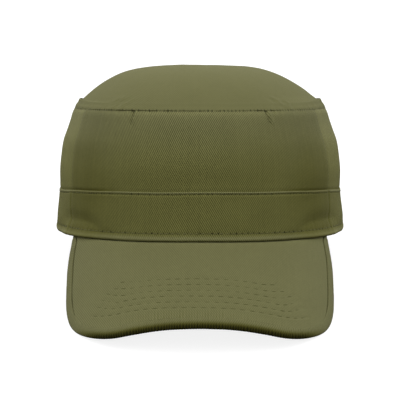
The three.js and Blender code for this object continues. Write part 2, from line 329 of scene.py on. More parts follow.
# Floor and walls, in metres
FLOOR_GLOW = 0.84
STAGE_HALF_WIDTH = 12.0
WALL_HEIGHT = 9.0

# Camera, at the photograph's angle
CAMERA_DISTANCE = 1600
CAMERA_ELEVATION = 8 + REST_PITCH
CAMERA_LENS = 232.7
TARGET_HEIGHT = 16.6  # above the band's lower edge, in the middle of the head

# Soft uneven waves of the cloth, each a sum of a few plain ones
RIPPLE_WAVES = 6
RIPPLE_GAIN = 1.6
RIPPLES = {
    # height, wavelength, seed
    "lip": (0.3, 34, 41),
    "crown_puckers": (0.16, 7, 3),
    "crown_waves": (0.35, 46, 5),
    "band_puckers": (0.12, 5, 8),
    "band_waves": (0.22, 38, 9),
    "top_waves": (0.22, 52, 12),
    "top_fine": (0.05, 13, 14),
    "top_puckers": (0.2, 6.5, 15),
    "top_crinkle": (0.45, 5, 17),
    "peak_waves": (0.1, 40, 21),
    "peak_rows": (0.45, 11, 23),
    "gather_sway": (0.5, 9, 31),
    "gather_height": (0.35, 4, 32),
    "binding": (0.06, 6, 33),
}

# Share of the height, and shares of the head's half-width and its reach front and back
WALL_SECTIONS = np.array((
    # height, side, front, back
    (0.0, 1.0, 1.0, 1.0),
    (0.13, 0.993, 0.994, 0.995),
    (0.3, 0.98, 0.984, 0.987),
    (0.47, 0.978, 0.973, 0.978),
    (0.64, 0.963, 0.959, 0.964),
    (0.74, 0.948, 0.949, 0.951),
    (0.82, 0.924, 0.94, 0.934),
    (0.9, 0.901, 0.927, 0.913),
    (0.96, 0.886, 0.911, 0.896),
    (1.0, 0.872, 0.89, 0.88),
))
SIDE, FRONT, BACK = 1, 2, 3

# Upper half of the binding's section, from the end of its top strip to the middle of its edge
BINDING_SECTION = np.array((
    # share of the strip's width left beside the edge, depth from 0, top, to 1, bottom
    (1.0, 0.1),
    (0.985, 0.02),
    (0.93, 0.0),
    (0.8, 0.004),
    (0.66, 0.018),
    (0.54, 0.038),
    (0.43, 0.065),
    (0.33, 0.1),
    (0.24, 0.14),
    (0.16, 0.185),
    (0.1, 0.235),
    (0.05, 0.3),
    (0.02, 0.36),
    (0.004, 0.43),
    (0.0, 0.5),
))


def ramp(value, low, high):
    """Rises smoothly from 0 at low to 1 at high."""
    share = np.clip((value - low) / (high - low), 0, 1)
    return share * share * (3 - 2 * share)


def mix(a, b, share):
    return a + (b - a) * share


def bell(value, width):
    return np.exp(-((value / width) ** 2))


def unit(vectors):
    return vectors / np.linalg.norm(vectors, axis=-1, keepdims=True)


def path_length(points):
    """Distance along a path from its first point, or up each column of a grid."""
    steps = np.linalg.norm(np.diff(points, axis=0), axis=-1)
    return np.concatenate((0 * steps[:1], np.cumsum(steps, 0)))


def section_share(column, height):
    """A smooth curve through one column of the wall's sections."""
    at = WALL_SECTIONS[:, 0]
    value = WALL_SECTIONS[:, column]
    last = len(at) - 1
    before = np.maximum(np.arange(last + 1) - 1, 0)
    after = np.minimum(np.arange(last + 1) + 1, last)
    slope = (value[after] - value[before]) / (at[after] - at[before])
    i = np.clip(np.searchsorted(at, height, side="right") - 1, 0, last - 1)
    step = at[i + 1] - at[i]
    s = np.clip((height - at[i]) / step, 0, 1)
    rise = mix(value[i], value[i + 1], s * s * (3 - 2 * s))
    return rise + step * s * (1 - s) * ((1 - s) * slope[i] - s * slope[i + 1])


def lower_edge(turn):
    """Height of the band's lower edge, arched over the peak."""
    share = np.minimum(np.abs(turn) / SEAM_ARCH_TURN, 1)
    return SEAM_RISE * (1 - share**SEAM_ARCH_POWER)


def band_top(turn):
    forward = np.cos(np.radians(turn))
    rise = BAND_FRONT_RISE * (forward + np.hypot(forward, BAND_BLEND)) / 2
    return BAND_BACK_HEIGHT + rise + ripple("lip", head_arc(turn))


def rim_top(turn):
    return RIM_HEIGHT + RIM_TILT * np.cos(np.radians(turn))


def plain_wall(turn, z):
    bottom = lower_edge(turn)
    height = (z - bottom) / (rim_top(turn) - bottom)
    forward = np.cos(np.radians(turn))
    front = HEAD_FRONT_REACH * section_share(FRONT, height)
    back = HEAD_BACK_REACH * section_share(BACK, height)
    reach = np.where(forward > 0, front, back)
    across = HEAD_HALF_WIDTH * section_share(SIDE, height) * np.sin(np.radians(turn))
    return np.stack(np.broadcast_arrays(across, -reach * forward, z), -1)


def wall_normal(turn, z):
    right = plain_wall(turn + NEAR, z) - plain_wall(turn - NEAR, z)
    up = plain_wall(turn, z + NEAR_UP) - plain_wall(turn, z - NEAR_UP)
    return unit(np.cross(right, up))


def corner_fold(turn, z):
    """The band's lower corner flares out below a curved line and is dented along it."""
    side = np.abs(turn)
    share = np.clip((side - FOLD_INNER_TURN) / (FOLD_OUTER_TURN - FOLD_INNER_TURN), 0, 1)
    amount = ramp(share, 0, FOLD_FULL_SHARE) * (1 - ramp(side, FOLD_OUTER_TURN, FOLD_END_TURN))
    above = z - lower_edge(turn) - FOLD_HEIGHT * (1 - (1 - share) ** FOLD_LINE_POWER)
    dent = DENT_DEPTH * bell(np.maximum(above, 0), DENT_HALF_HEIGHT)
    flare = (FLARE_REACH + DENT_DEPTH) * np.clip(-above / FOLD_HEIGHT, 0, 1)
    return amount * (flare - dent)


def wall_point(turn, z, depth):
    out = corner_fold(turn, z) - depth
    return plain_wall(turn, z) + wall_normal(turn, z) * out[..., None]


def crown_depth(turn, z):
    """The crown lies inside the band, and fills out above it."""
    above = z - band_top(turn)
    lap = mix(BAND_CLOTH, LIP_CLOTH, ramp(above, -LIP_TAPER, 0)) + SEAM_GAP
    crease = mix(lap, BAND_STEP, ramp(above, 0, CREASE_HEIGHT))
    return crease * (1 - ramp(above, CREASE_HEIGHT, BAND_STEP_FADE))


HEAD_TURNS = np.linspace(-200, 200, 2001)
HEAD_STEPS = np.hypot(
    HEAD_HALF_WIDTH * np.cos(np.radians(HEAD_TURNS)),
    HEAD_FRONT_REACH * np.sin(np.radians(HEAD_TURNS)),
) * math.radians(HEAD_TURNS[1] - HEAD_TURNS[0])
HEAD_ARC = np.cumsum(HEAD_STEPS) - np.cumsum(HEAD_STEPS)[len(HEAD_TURNS) // 2]


def head_arc(turn):
    """Distance round the head from the front, for an angle."""
    return np.interp(turn, HEAD_TURNS, HEAD_ARC)


def head_turn(arc):
    return np.interp(arc, HEAD_ARC, HEAD_TURNS)


# The peak's surface bends about one straight direction, down its middle
DOWN = np.array((0, -math.cos(PEAK_SLOPE), -math.sin(PEAK_SLOPE)))
UPRIGHT = np.array((0, -math.sin(PEAK_SLOPE), math.cos(PEAK_SLOPE)))
SEAM_MIDDLE = np.array((0, -HEAD_FRONT_REACH, SEAM_RISE - GAP))


def seam_fall(across):
    """How far back and down the band's lower edge lies from its middle."""
    turn = np.arcsin(np.clip(across / HEAD_HALF_WIDTH, -1, 1))
    back = HEAD_FRONT_REACH * (1 - np.cos(turn))
    low = SEAM_RISE - lower_edge(np.degrees(turn))
    return back, low


def peak_drop(across):
    """How far the bent peak lies below its middle line, square to its slope."""
    back, low = seam_fall(across)
    return back * math.sin(PEAK_SLOPE) + low * math.cos(PEAK_SLOPE)


def seam_along(across):
    """Where the band's lower edge lies on the peak's cloth, down its slope."""
    back, low = seam_fall(across)
    return low * math.sin(PEAK_SLOPE) - back * math.cos(PEAK_SLOPE)


def peak_normal(across):
    fall = (peak_drop(across + NEAR) - peak_drop(across - NEAR)) / (2 * NEAR)
    return unit(fall[..., None] * np.array((1, 0, 0)) + UPRIGHT)


def peak_point(across, along, depth):
    """A point of the peak, from its place on the cloth and its depth below the top."""
    point = SEAM_MIDDLE + along[..., None] * DOWN - peak_drop(across)[..., None] * UPRIGHT
    point = point + across[..., None] * np.array((1, 0, 0))
    return point - peak_normal(across) * np.asarray(depth)[..., None]


def edge_wave(across):
    side = np.abs(across)
    fade = 1 - ramp(side, PEAK_EDGE_WAVE_HALF, PEAK_EDGE_WAVE_END)
    wave = PEAK_EDGE_WAVE * np.cos(math.pi * side / PEAK_EDGE_WAVE_HALF) * fade
    return wave + PEAK_EDGE_LEAN * bell(across - PEAK_LEAN_PLACE, PEAK_LEAN_WIDTH)


def peak_outline():
    """Points along the peak's edge, from its left end to its right one."""
    end_x = HEAD_HALF_WIDTH * math.sin(math.radians(PEAK_HALF_TURN))
    end = np.array((end_x, seam_along(np.array(end_x)) + BINDING_END_GAP))
    angle = np.linspace(math.pi / 2, 0, 300)
    across = PEAK_HALF_WIDTH * np.sin(angle) ** (2 / PEAK_CORNER_POWER)
    along = mix(PEAK_CORNER_START, PEAK_REACH, np.cos(angle) ** (2 / PEAK_CORNER_POWER))
    corner = np.stack((across, along + edge_wave(across)), -1)
    share = np.linspace(0, 1, 60)[:-1]
    bulge = mix(end[0], PEAK_HALF_WIDTH, np.sin(share * math.pi / 2))
    side = np.stack((bulge, mix(end[1], PEAK_CORNER_START, share)), -1)
    half = np.concatenate((side, corner))
    return np.concatenate((half * (-1, 1), half[-2::-1]))


OUTLINE = peak_outline()
OUTLINE_ARC = path_length(OUTLINE)
OUTLINE_LENGTH = OUTLINE_ARC[-1]


def edge_place(arc, inset):
    """A place on the peak's cloth, measured in from its edge."""

    def on_edge(at):
        return np.stack([np.interp(at, OUTLINE_ARC, values) for values in OUTLINE.T], -1)

    tangent = unit(on_edge(arc + EDGE_NEAR) - on_edge(arc - EDGE_NEAR))
    inward = np.stack((tangent[..., 1], -tangent[..., 0]), -1)
    place = on_edge(arc) + inward * np.asarray(inset)[..., None]
    across, along = place[..., 0], place[..., 1]
    return across, np.maximum(along, seam_along(across) + BINDING_END_GAP)


def near_middle(arc, half, fade):
    """1 on the middle stretch of the peak's edge, 0 beyond it."""
    return 1 - ramp(np.abs(arc - OUTLINE_LENGTH / 2), half, half + fade)


def flush(arc):
    """1 where the binding lies level with the peak's cloth, 0 where it stands proud of it."""
    return near_middle(arc, FLUSH_HALF_ARC, FLUSH_FADE)


def at_front(arc):
    """1 along the peak's front edge, 0 along its sides."""
    return near_middle(arc, FRONT_HALF_ARC, FRONT_FADE)


def binding_proud(arc):
    """How far the binding stands above the peak's cloth, sunk where it goes under the band."""
    from_end = np.minimum(arc, OUTLINE_LENGTH - arc)
    tucked = 1 - ramp(from_end, BINDING_TUCK / 2, BINDING_TUCK)
    sunk = BINDING_PROUD + BINDING_SINK
    return BINDING_PROUD * mix(1, FLUSH_SHARE, flush(arc)) - sunk * tucked


def gathers(arc):
    """Fine uneven ribs square to the peak's front edge, from about -0.7 to 0.3."""
    swayed = arc + ripple("gather_sway", arc)
    ribs = np.abs(np.sin(math.pi * swayed / BINDING_RIB_PITCH)) - RIB_MIDDLE
    return ribs * (RIB_USUAL + ripple("gather_height", arc)) * at_front(arc)


def binding_hang(arc):
    """How far the binding hangs below the peak's lower face, fullest along the front."""
    return binding_proud(arc) + BINDING_FRONT_HANG * at_front(arc)


def binding_width(arc):
    from_end = np.minimum(arc, OUTLINE_LENGTH - arc)
    from_middle = np.abs(arc - OUTLINE_LENGTH / 2) / (OUTLINE_LENGTH / 2)
    full = mix(BINDING_FRONT_WIDTH, BINDING_SIDE_WIDTH, ramp(from_middle, 0.2, 0.6))
    return mix(BINDING_END_WIDTH, full, ramp(from_end, 0, BINDING_TAPER))


def peak_row_along(across, row):
    """A stitch row follows the peak's front edge, and curls back a little at its ends."""
    wide = np.minimum(np.abs(across) / PEAK_HALF_WIDTH, 1) ** PEAK_CORNER_POWER
    deep = (1 - wide) ** (1 / PEAK_CORNER_POWER)
    edge = mix(PEAK_CORNER_START, PEAK_REACH, deep)
    reach, curl = PEAK_ROWS[row]
    back = curl * ramp(np.abs(across), reach - ROW_CURL_LENGTH, reach) ** ROW_CURL_POWER
    return edge + edge_wave(across) - PEAK_STITCH_INSET - PEAK_STITCH_PITCH * row - back


def ripple(kind, u, v=0.0):
    """Uneven waves of one kind, about as high and as deep as the table says."""
    height, wavelength, seed = RIPPLES[kind]
    draw = random.Random(seed)
    total = np.zeros(np.broadcast(u, v).shape)
    for _ in range(RIPPLE_WAVES):
        angle = draw.uniform(0, math.pi)
        length = wavelength * draw.uniform(0.7, 1.6)
        phase = draw.uniform(0, 2 * math.pi)
        along = u * math.cos(angle) + v * math.sin(angle)
        total = total + np.sin(2 * math.pi * along / length + phase)
    return height * (total / RIPPLE_WAVES * RIPPLE_GAIN)


def clustered(count, tightness):
    """Shares from 0 to 1 that crowd together towards both ends."""
    even = np.linspace(0, 1, count)
    return even - tightness * np.sin(2 * math.pi * even) / (2 * math.pi)


def rolled(distance, radius):
    """How far an edge's rounding takes the surface in, by distance from the edge."""
    inside = np.clip(1 - distance / radius, 0, 1)
    return radius * (1 - np.sqrt(1 - inside**2))


def pitched(points):
    """The cap tilted forward, the way that it rests."""
    cosine, sine = math.cos(math.radians(REST_PITCH)), math.sin(math.radians(REST_PITCH))
    y, z = points[..., 1], points[..., 2]
    return np.stack((points[..., 0], y * cosine + z * sine, z * cosine - y * sine), -1)


def dome_point(turn, share):
    edge = wall_point(turn, rim_top(turn), np.zeros(np.shape(turn)))
    middle = (rim_top(0) + rim_top(180)) / 2
    from_seam = (1 - share) * HEAD_HALF_WIDTH
    past = ramp(from_seam, RIM_STRIP_WIDTH, RIM_STRIP_WIDTH + RIM_STRIP_STEP / 2)
    strip = ramp(from_seam, 0, RIM_STRIP_STEP) - past
    strip = strip + RIM_STRIP_LIP * bell(from_seam - RIM_STRIP_WIDTH + 0.5, 0.8)
    side = np.sin(np.radians(turn)) ** RIM_STRIP_SIDE_POWER
    strip = RIM_STRIP_RISE * mix(RIM_STRIP_FRONT_SHARE, 1, side) * strip
    rise = DOME_RISE * (1 - share**DOME_FULLNESS)
    height = mix(middle, edge[..., 2], share) + rise + strip + JOIN_GAP
    return np.stack((edge[..., 0] * share, edge[..., 1] * share, height), -1)


def frame_shift():
    """The step that brings the pitched cap into the model's frame."""
    turn, share = np.meshgrid(np.linspace(-180, 180, 361), np.linspace(0, 1, 201))
    dome = pitched(dome_point(turn, share))
    low, high = (np.array(corner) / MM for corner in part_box("crown_top"))
    middle = (dome[..., 1].min() + dome[..., 1].max()) / 2
    return np.array((0, (low[1] + high[1]) / 2 - middle, high[2] - dome[..., 2].max()))


REST_SHIFT = frame_shift()


def at_rest(points):
    """Metres in the model's frame, with the cloth flattened where it meets the surface."""
    rested = pitched(points) + REST_SHIFT
    rested[..., 2] = np.maximum(rested[..., 2], 0)
    return rested * MM


def add_object(name, data):
    item = bpy.data.objects.new(name, data)
    bpy.context.scene.collection.objects.link(item)
    return item


def finished_piece(mesh, name, material):
    mesh.polygons.foreach_set("use_smooth", np.ones(len(mesh.polygons), bool))
    mesh.set_sharp_from_angle(angle=math.radians(60))
    piece = add_object(name, mesh)
    mesh.materials.append(material)
    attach(piece, "root")
    return piece


def cloth_piece(node, material, outer, inner, looks, wrapped=False):
    """A closed wall of cloth from a grid of points on each face, as rows and columns.

    A wrapped grid goes all the way round, and its last row is a small ring closed on each face.
    looks holds grids for the shader: cloth, the place on the cloth; sewing, the number of
    stitches along the nearest row and the distance from it; wear, worn edges
    lightened further by painted highlight; fade, a whiter colour painted as sheen where light
    falls from above; weave, how far the weave's painted shade stands out; and shade, painted
    shade, or painted light below 0.
    """
    rows, columns = outer.shape[:2]
    points = np.concatenate((outer.reshape(-1, 3), inner.reshape(-1, 3)))
    number = np.arange(2 * rows * columns).reshape(2, rows, columns)
    if wrapped:
        number = np.concatenate((number, number[:, :, :1]), 2)
    out, back = number
    faces = [
        (out[:-1, :-1], out[:-1, 1:], out[1:, 1:], out[1:, :-1]),
        (back[:-1, :-1], back[1:, :-1], back[1:, 1:], back[:-1, 1:]),
        (back[0, :-1], back[0, 1:], out[0, 1:], out[0, :-1]),
    ]
    caps = []
    if wrapped:
        caps = [out[-1, :-1].tolist(), back[-1, -2::-1].tolist()]
    else:
        faces.append((out[-1, :-1], out[-1, 1:], back[-1, 1:], back[-1, :-1]))
        faces.append((out[:-1, 0], out[1:, 0], back[1:, 0], back[:-1, 0]))
        faces.append((back[:-1, -1], back[1:, -1], out[1:, -1], out[:-1, -1]))
    quads = np.concatenate([np.stack(face, -1).reshape(-1, 4) for face in faces])
    name = node + "_cloth"
    mesh = bpy.data.meshes.new(name)
    mesh.from_pydata(at_rest(points), [], quads.tolist() + caps)
    corners = np.empty(len(mesh.loops), np.int32)
    mesh.loops.foreach_get("vertex_index", corners)
    inside = rows * columns
    for kind in ("cloth", "sewing"):
        place = np.broadcast_to(looks.get(kind, NO_STITCH), (rows, columns, 2)).reshape(-1, 2)
        places = np.concatenate((place, place))
        if kind == "sewing":
            places[inside:] = NO_STITCH
        layer = mesh.uv_layers.new(name=kind)
        layer.uv.foreach_set("vector", places[corners].astype(np.float32).ravel())
    for kind, usual in (("wear", 0.0), ("fade", 0.0), ("weave", 1.0), ("shade", 0.0)):
        amount = np.broadcast_to(looks.get(kind, usual), (rows, columns)).ravel()
        inner_amount = amount * (kind != "wear")
        attribute = mesh.attributes.new(kind, "FLOAT", "POINT")
        values = np.concatenate((amount, inner_amount)).astype(np.float32)
        attribute.data.foreach_set("value", values)
    mesh.validate()
    piece = finished_piece(mesh, name, material)
    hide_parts(node)


def grid_pair(first, second):
    return np.stack(np.broadcast_arrays(first, second), -1).astype(float)


def weave_strength(arc):
    """The weave shows less on the cloth drawn tight round the cap's front corners."""
    return 1 - TIGHT_SMOOTHING * bell(np.abs(arc) - TIGHT_ARC, TIGHT_WIDTH)


def corner_shade(arc, most):
    """Painted shade on the front panels, darker towards their side seams."""
    seam = head_arc(SIDE_SEAM_TURN)
    share = np.abs(arc) / seam
    fading = 1 - CORNER_FADE * ramp(share, CORNER_FADE_START, 1)
    return most * fading * ramp(share, CORNER_START, CORNER_FULL) * (share < 1)


def flare_share(turn, above):
    """1 on the lower part of the band's flared corners, 0 elsewhere."""
    side = ramp(np.abs(turn), FOLD_INNER_TURN, FOLD_INNER_TURN + 14)
    side = side * (1 - ramp(np.abs(turn), FOLD_END_TURN + 4, FOLD_END_TURN + 26))
    return side * (1 - ramp(above, FOLD_HEIGHT * 0.8, FOLD_HEIGHT * 1.3))


def rim_darts(arc, below):
    total = np.zeros(np.broadcast(arc, below).shape)
    for place, slant, depth, length in RIM_DARTS:
        beside = arc - place - slant * below
        fade = 1 - ramp(below, length * 0.45, length)
        total = total + depth * fade * (bell(beside, 0.75) - 0.45 * bell(beside - 1.8, 1.2))
    return total


def panel_turns(start, end, columns):
    """Angles across a panel from seam to seam, crowded towards both."""
    first, last = head_arc(start) + JOIN_GAP / 2, head_arc(end) - JOIN_GAP / 2
    return head_turn(mix(first, last, clustered(columns, SEAM_CROWDING)))[None, :]


def seam_distance(turn, start, end):
    return np.minimum(head_arc(turn) - head_arc(start), head_arc(end) - head_arc(turn))


def crown_relief(turn, z, start, end):
    """How far the cloth dips, at its seams, in puckers along the rim and in soft waves."""
    arc = head_arc(turn)
    below = rim_top(turn) - z
    above = z - band_top(turn)
    from_seam = seam_distance(turn, start, end)
    dip = RIM_DIP * bell(below, RIM_DIP_WIDTH) + CROWN_SEAM_DIP * bell(from_seam, SEAM_DIP_WIDTH)
    puckers = ripple("crown_puckers", arc) * np.exp(-np.maximum(below, 0) / 4)
    waves = ripple("crown_waves", arc, z) * ramp(above, 0, 8) * ramp(below, 0, 8)
    waves = waves * (1 - 0.7 * bell(np.abs(turn) - 90, 22))
    return dip + puckers + waves + rim_darts(arc, below)


def crown_panel(name, start, end, columns, material):
    """A crown panel from one seam to the next, from inside the band up to the rim."""
    turn = panel_turns(start, end, columns)
    hidden = np.linspace(0, 1, LAP_ROWS + 1)[:-1, None]
    shown = clustered(CROWN_ROWS, EDGE_CROWDING)[:, None]
    bottom = lower_edge(turn) + CROWN_LAP
    lap = band_top(turn) - 1
    z = np.concatenate((mix(bottom, lap, hidden), mix(lap, rim_top(turn), shown)))
    turn = np.broadcast_to(turn, z.shape)
    depth = crown_depth(turn, z) + crown_relief(turn, z, start, end)
    below = rim_top(turn) - z
    outer = wall_point(turn, z, depth + rolled(below, EDGE_ROLL))
    inner = wall_point(turn, z, depth + CROWN_CLOTH)
    up = path_length(outer)
    arc = head_arc(turn)
    from_lip = z - band_top(turn)
    # Painted shade towards the side seams and above the band's edge at the sides; painted light up
    # towards the rim and on the side panels behind their seams
    shade = corner_shade(arc, CROWN_CORNER_SHADE) - RIM_LIGHT * ramp(-below, -50, -8)
    shade = shade + LIP_SHADE * bell(from_lip - 0.7, 0.8) * ramp(np.abs(arc), 50, 75)
    past_seam = np.abs(turn) - SIDE_SEAM_TURN
    shade = shade - SIDE_LIGHT * (1 - ramp(past_seam, 0, SIDE_LIGHT_END)) * (past_seam > 0)
    # Painted highlight just under the rim, and a whiter painted sheen over the upper crown
    looks = {
        "cloth": grid_pair(arc, up - up[LAP_ROWS] + lap[0, columns // 2]),
        "sewing": grid_pair(arc / RIM_PITCH, below),
        "wear": RIM_HIGHLIGHT * bell(below - 1.2, 0.8),
        "fade": ramp(-below, -46, 0) ** 1.3,
        "weave": weave_strength(arc),
        "shade": shade,
    }
    cloth_piece(name, material, outer, inner, looks)


def band_relief(turn, z):
    """How far the band dips at its stitch rows, with its soft waves and its hem's roll."""
    arc = head_arc(turn)
    above = z - lower_edge(turn)
    below = band_top(turn) - z
    fading = 1 - 0.7 * ramp(np.abs(arc), 62, 92)
    grooves = TOP_GROOVE * fading * bell(below - BAND_TOP_STITCH, GROOVE_WIDTH)
    grooves = grooves + LOW_GROOVE * bell(above - BAND_LOW_STITCH, GROOVE_WIDTH)
    hem = HEM_BULGE * np.sin(math.pi * np.clip(above / HEM_HEIGHT, 0, 1)) ** 0.8
    puckers = ripple("band_puckers", arc) * np.exp(-np.abs(above - BAND_LOW_STITCH) / 3)
    waves = ripple("band_waves", arc, z) * ramp(below, 0, 6) * ramp(above, 3, 9)
    return grooves - hem + puckers + waves


def band_panel(name, start, end, columns, material):
    """A length of the band, with a folded upper edge and a hem turned in below."""
    turn = panel_turns(start, end, columns)
    z = mix(lower_edge(turn), band_top(turn), clustered(BAND_ROWS, EDGE_CROWDING)[:, None])
    turn = np.broadcast_to(turn, z.shape)
    above = z - lower_edge(turn)
    below = band_top(turn) - z
    from_seam = seam_distance(turn, start, end)
    relief = band_relief(turn, z) + BAND_SEAM_DIP * bell(from_seam, SEAM_DIP_WIDTH)
    outer = wall_point(turn, z, relief + rolled(below, LIP_ROLL) + rolled(above, HEM_ROLL))
    hem = mix(HEM_DEPTH, BAND_CLOTH, ramp(above, CROWN_LAP - 0.6, CROWN_LAP - 0.1))
    lip = mix(LIP_CLOTH, BAND_CLOTH, ramp(below, 0, LIP_TAPER))
    hem = np.where(below < LIP_TAPER, lip, hem)
    inner_roll = rolled(above, HEM_ROLL / 2)
    inner = wall_point(turn, z, np.maximum(hem - inner_roll, relief + 0.2))
    up = path_length(outer)
    arc = head_arc(turn)
    nearer_top = below < above
    pitch = np.where(nearer_top, TOP_PITCH, LOW_PITCH)
    beside = np.where(nearer_top, below - BAND_TOP_STITCH, above - BAND_LOW_STITCH)
    # Painted shade towards the front panel's side seams, on the flared corners and along the seams
    shade = corner_shade(arc, BAND_CORNER_SHADE) + FLARE_SHADE * flare_share(turn, above)
    shade = shade + JOIN_SHADE * bell(from_seam, 1.6)
    # The lip and the hem catch the light: painted highlight, and a whiter painted sheen
    lip_line = bell(below - LIP_LINE, LIP_LINE)
    looks = {
        "cloth": grid_pair(arc, up),
        "sewing": grid_pair(arc / pitch, beside),
        "wear": LIP_HIGHLIGHT * lip_line + HEM_HIGHLIGHT * bell(above - HEM_LINE, 1.1),
        "fade": np.clip(1.6 * lip_line + 1.4 * bell(above - HEM_LINE, 1.2), 0, 1),
        "weave": weave_strength(arc),
        "shade": shade,
    }
    cloth_piece(name, material, outer, inner, looks)


def grid_normals(points):
    """Directions square to a grid whose rows go out and whose columns go all the way round."""
    around = np.roll(points, -1, 1) - np.roll(points, 1, 1)
    return unit(np.cross(around, np.gradient(points, axis=0)))


def top_panel(material):
    """The domed top, with the turned seam under its border and a faint crease in front."""
    turn = np.linspace(-180, 180, TOP_COLUMNS, endpoint=False)[None, :]
    even = np.linspace(0, 1, TOP_ROWS)[:, None]
    share = mix(0.012, 1, 1 - (1 - even) ** 1.7)
    turn, share = np.broadcast_arrays(turn, share)
    base = dome_point(turn, share)
    normal = grid_normals(base)
    normal = normal * np.sign(normal[..., 2:])
    from_seam = (1 - share) * HEAD_HALF_WIDTH
    x, y = base[..., 0], base[..., 1]
    arc = head_arc(turn)
    waves = ripple("top_waves", x, y) * ramp(from_seam, 2, 16)
    fine = ripple("top_fine", x, y) * ramp(from_seam, 1, 6)
    puckers = ripple("top_puckers", arc) * np.exp(-from_seam / 5)
    crease = CREASE_RISE * bell(x - CREASE_PLACE, 0.8) * bell(from_seam - 8, 7) * (y < 0)
    swells = sum(height * bell(x - place, width) for place, width, height in TOP_SWELLS)
    hollow = HOLLOW_DEPTH * bell(x - HOLLOW_PLACE, HOLLOW_WIDTH) * ramp(from_seam, 4, 10)
    beside = np.abs(arc) - head_arc(CRINKLE_TURN)
    crinkle = ripple("top_crinkle", x, y) * bell(beside, 9) * bell(from_seam - 5, 4) * (y < 0)
    dip = RIM_DIP * bell(from_seam, RIM_DIP_WIDTH) + rolled(from_seam, EDGE_ROLL)
    lift = waves + fine + puckers + crease + crinkle + (swells - hollow) - dip
    outer = base + normal * lift[..., None]
    at_seam = ramp(from_seam, 0, 3)[..., None]
    wall = wall_normal(turn, rim_top(turn))
    inward = unit(mix(wall, normal, at_seam))
    inner = base + normal * (lift + rolled(from_seam, EDGE_ROLL))[..., None] - inward * CROWN_CLOTH
    inner = np.where(at_seam > 0, inner, base - wall * CROWN_CLOTH)
    out = path_length(outer)
    # Painted shade over the top, darker towards its sides, and a whiter painted sheen all over
    looks = {
        "cloth": grid_pair(out * np.sin(np.radians(turn)), -out * np.cos(np.radians(turn)))[::-1],
        "sewing": grid_pair(arc / RIM_PITCH, from_seam)[::-1],
        "wear": TOP_EDGE_LIGHTENING * bell(from_seam - 1.4, 0.8)[::-1],
        "fade": 1.0,
        "shade": (TOP_SHADE + TOP_SIDE_SHADE * ramp(np.abs(x), 15, 70))[::-1],
    }
    cloth_piece("crown_top", material, outer[::-1], inner[::-1], looks, wrapped=True)


def dying_ribs(across, along):
    """The binding's gathers die out on the peak's cloth just behind it."""
    from_edge = PEAK_REACH + edge_wave(across) - along - BINDING_FRONT_WIDTH
    dying = 1 - ramp(from_edge, 0, PEAK_RIB_LENGTH)
    middle = mix(0.4, 1, bell(across + 4, 30))
    return dying * middle * gathers(OUTLINE_LENGTH / 2 + across)


def peak_relief(across, along):
    """How far the peak's cloth dips at its stitch rows, with faint waves."""
    total = ripple("peak_waves", across, along)
    uneven = PEAK_GROOVE_USUAL + ripple("peak_rows", across, along)
    for row, (reach, _) in enumerate(PEAK_ROWS):
        beside = along - peak_row_along(across, row)
        shown = 1 - ramp(np.abs(across), reach - 1, reach + 3)
        groove = bell(beside, 0.7) - 0.35 * bell(beside - 1.3, 0.8)
        total = total + PEAK_GROOVE * shown * uneven * groove
    total = total - PEAK_RIB * dying_ribs(across, along)
    from_band = along - seam_along(across)
    return total + SEAM_SHADOW * bell(from_band, SEAM_SHADOW_WIDTH)


def peak_piece(material):
    """The stiff peak, its margin under the band and a thin rim inside the binding."""
    arc = OUTLINE_LENGTH * clustered(PEAK_COLUMNS, -0.3)
    inner_turn = PEAK_HALF_TURN - PEAK_SEAM_INSET
    turn = mix(-inner_turn, inner_turn, arc / OUTLINE_LENGTH)
    seam_x = HEAD_HALF_WIDTH * np.sin(np.radians(turn))
    seam = np.stack((seam_x, seam_along(seam_x)), -1)
    rim_dip = BINDING_CLOTH + GAP - binding_proud(arc)
    step = mix(BINDING_SIDE_STEP, BINDING_FRONT_STEP, flush(arc))
    width = binding_width(arc)
    edge = np.stack(edge_place(arc, width + step), -1)
    part = clustered(PEAK_CLOTH_ROWS, 0.7)[:, None, None]
    cloth = mix(seam, edge, part)
    past = width + step
    rims = [(past - 0.12, 0.35), (past - 0.3, 1), (width * 0.75, 1), (0 * width + 2.1, 1)]
    rim = [np.stack(edge_place(arc, inset), -1) for inset, _ in rims]
    across, along = np.moveaxis(np.concatenate((cloth, rim)), -1, 0)
    rim_shares = np.array([0.0] * len(cloth) + [share for _, share in rims])
    dips = rim_shares[:, None] * rim_dip
    relief = peak_relief(across, along) * (dips == 0)
    top_face = peak_point(across, along, relief + dips)
    low_face = peak_point(across, along, PEAK_THICKNESS - UNDER_RELIEF * relief - dips)
    margin = wall_point(turn, lower_edge(turn), np.full(PEAK_COLUMNS, SEAM_MARGIN))
    margin[:, 2] -= 0.05
    low_margin = margin - peak_normal(seam_x) * PEAK_THICKNESS
    top_face = np.concatenate((margin[None], top_face))
    low_face = np.concatenate((low_margin[None], low_face))
    flat = np.concatenate((along[:1] - SEAM_MARGIN, along))
    wide = np.concatenate((across[:1], across))
    from_band = flat - seam_along(wide)
    # Painted light over the peak, most just below the band and on streaks above the gathers; the
    # peak also has a whiter painted sheen all over
    light = PEAK_LIGHT + PEAK_SEAM_LIGHT * np.exp(-np.maximum(from_band, 0) / 2.5)
    looks = {
        "cloth": grid_pair(wide * (1 + 0.00003 * wide**2), -flat),
        "fade": 1.0,
        "shade": -PEAK_RIB_LIGHT * dying_ribs(wide, flat) - light,
    }
    cloth_piece("peak", material, low_face, top_face, looks)


